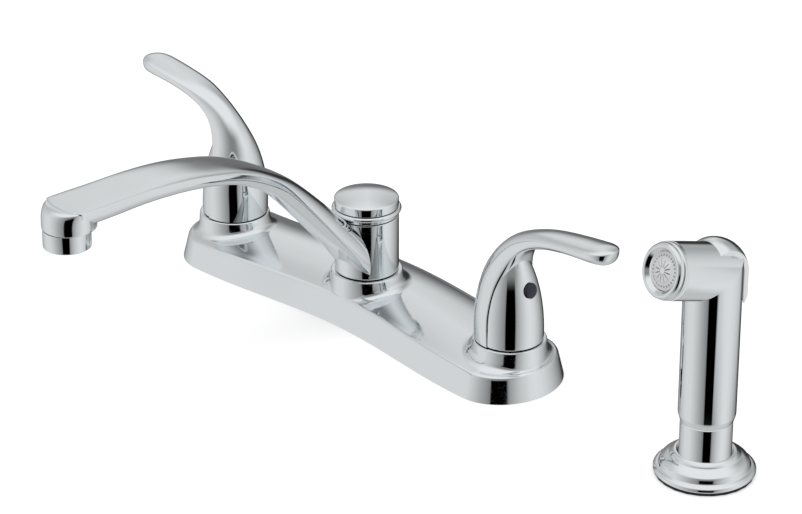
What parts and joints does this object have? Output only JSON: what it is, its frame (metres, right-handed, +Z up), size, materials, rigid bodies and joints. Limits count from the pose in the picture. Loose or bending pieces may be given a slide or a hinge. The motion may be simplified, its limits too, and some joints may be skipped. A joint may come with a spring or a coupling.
{
  "type": "two handle kitchen faucet",
  "caption": "Chrome deck-mounted kitchen mixer with hot and cold levers, a swing spout on a crescent deck plate, and a side sprayer in its own holder",
  "frame": {"origin": "On the top of the sink deck, under the middle of the deck plate, on the axis of the spout post", "axes": "+X along the deck plate from the hot to the cold handle, -Y towards the person at the sink, +Z up"},
  "size_m": [0.4288, 0.2388, 0.1776],
  "materials": {
    "polished_chrome": "polished chrome plate",
    "cast_brass": "as cast and turned brass",
    "copper_tube": "drawn copper tube",
    "stainless_steel": "stainless steel",
    "black_rubber": "matt rubber",
    "black_nylon": "moulded nylon",
    "white_acetal": "moulded acetal",
    "cold_mark": "gloss navy plastic",
    "hot_mark": "gloss red plastic"
  },
  "bodies": {
    "faucet_base": {"deck_plate": "polished_chrome", "deck_gasket": "black_rubber", "hot_valve_body": "cast_brass", "hot_mounting_washer": "stainless_steel", "hot_mounting_nut": "black_nylon", "hot_cross_tube": "copper_tube", "hot_seat_spring": "stainless_steel", "hot_valve_seat": "black_rubber", "hot_cartridge": "white_acetal", "hot_bonnet_nut": "cast_brass", "cold_valve_body": "cast_brass", "cold_mounting_washer": "stainless_steel", "cold_mounting_nut": "black_nylon", "cold_cross_tube": "copper_tube", "cold_seat_spring": "stainless_steel", "cold_valve_seat": "black_rubber", "cold_cartridge": "white_acetal", "cold_bonnet_nut": "cast_brass", "spout_post": "cast_brass", "diverter_body": "white_acetal", "diverter_spring": "stainless_steel", "lower_spout_ring": "black_rubber", "upper_spout_ring": "black_rubber", "lower_spout_bearing": "black_nylon", "upper_spout_bearing": "black_nylon", "spout_nut": "polished_chrome", "spout_cap": "polished_chrome", "spray_holder": "polished_chrome", "spray_holder_gasket": "black_rubber", "spray_holder_washer": "stainless_steel", "spray_holder_nut": "black_nylon"},
    "swing_spout": {"spout": "polished_chrome", "aerator_housing": "polished_chrome", "aerator_washer": "black_rubber", "aerator_insert": "white_acetal", "aerator_screen": "stainless_steel"},
    "hot_lever": {"hot_stem": "cast_brass", "hot_handle": "polished_chrome", "hot_set_screw": "stainless_steel", "hot_index_button": "hot_mark"},
    "cold_lever": {"cold_stem": "cast_brass", "cold_handle": "polished_chrome", "cold_set_screw": "stainless_steel", "cold_index_button": "cold_mark"},
    "diverter": {"diverter_piston": "white_acetal"},
    "hose_end": {"spray_coupling": "polished_chrome", "spray_coupling_washer": "black_rubber"},
    "spray_head": {"spray_body": "polished_chrome", "spray_lever_pin": "stainless_steel", "spray_valve_seat": "cast_brass", "spray_valve_spring": "stainless_steel", "spray_face_seal": "black_rubber", "spray_nozzle_ring": "polished_chrome", "spray_face": "white_acetal"},
    "thumb_lever": {"spray_thumb_lever": "polished_chrome"},
    "spray_valve": {"spray_valve_plunger": "cast_brass"}
  },
  "joints": [
    {"name": "spout_swivel", "type": "hinge", "parent": "faucet_base", "child": "swing_spout", "pos_m": [0, 0, 0.04], "axis": [0, 0, 1], "continuous": true},
    {"name": "hot_handle_turn", "type": "hinge", "parent": "faucet_base", "child": "hot_lever", "pos_m": [-0.1016, 0, 0.03], "axis": [0, 0, 1], "range_deg": [0, 90]},
    {"name": "cold_handle_turn", "type": "hinge", "parent": "faucet_base", "child": "cold_lever", "pos_m": [0.1016, 0, 0.03], "axis": [0, 0, 1], "range_deg": [-90, 0]},
    {"name": "diverter_slide", "type": "slide", "parent": "faucet_base", "child": "diverter", "axis": [0, 0, 1], "range_m": [0, 0.003], "stiffness_N_per_m": 60, "springref_m": -0.002, "deforming": ["diverter_spring"]},
    {"name": "sprayer_lift", "type": "slide", "parent": "faucet_base", "child": "hose_end", "axis": [0, 0, 1], "range_m": [0, 0.06]},
    {"name": "spray_head_swivel", "type": "hinge", "parent": "hose_end", "child": "spray_head", "pos_m": [0.229, 0, 0.04], "axis": [0, 0, 1], "continuous": true},
    {"name": "thumb_press", "type": "hinge", "parent": "spray_head", "child": "thumb_lever", "pos_m": [0.22939, 0.00248, 0.11285], "axis": [-0.9877, 0.1564, 0], "range_deg": [0, 5], "stiffness_Nm_per_rad": 2, "springref_deg": -2.86},
    {"name": "spray_valve_push", "type": "slide", "parent": "spray_head", "child": "spray_valve", "axis": [-0.1504, -0.9494, 0.2756], "range_m": [0, 0.0008], "deforming": ["spray_valve_spring"]}
  ],
  "couplings": [
    {"joint": "spray_valve_push", "follows": "thumb_press", "m_per_rad": 0.0091}
  ]
}
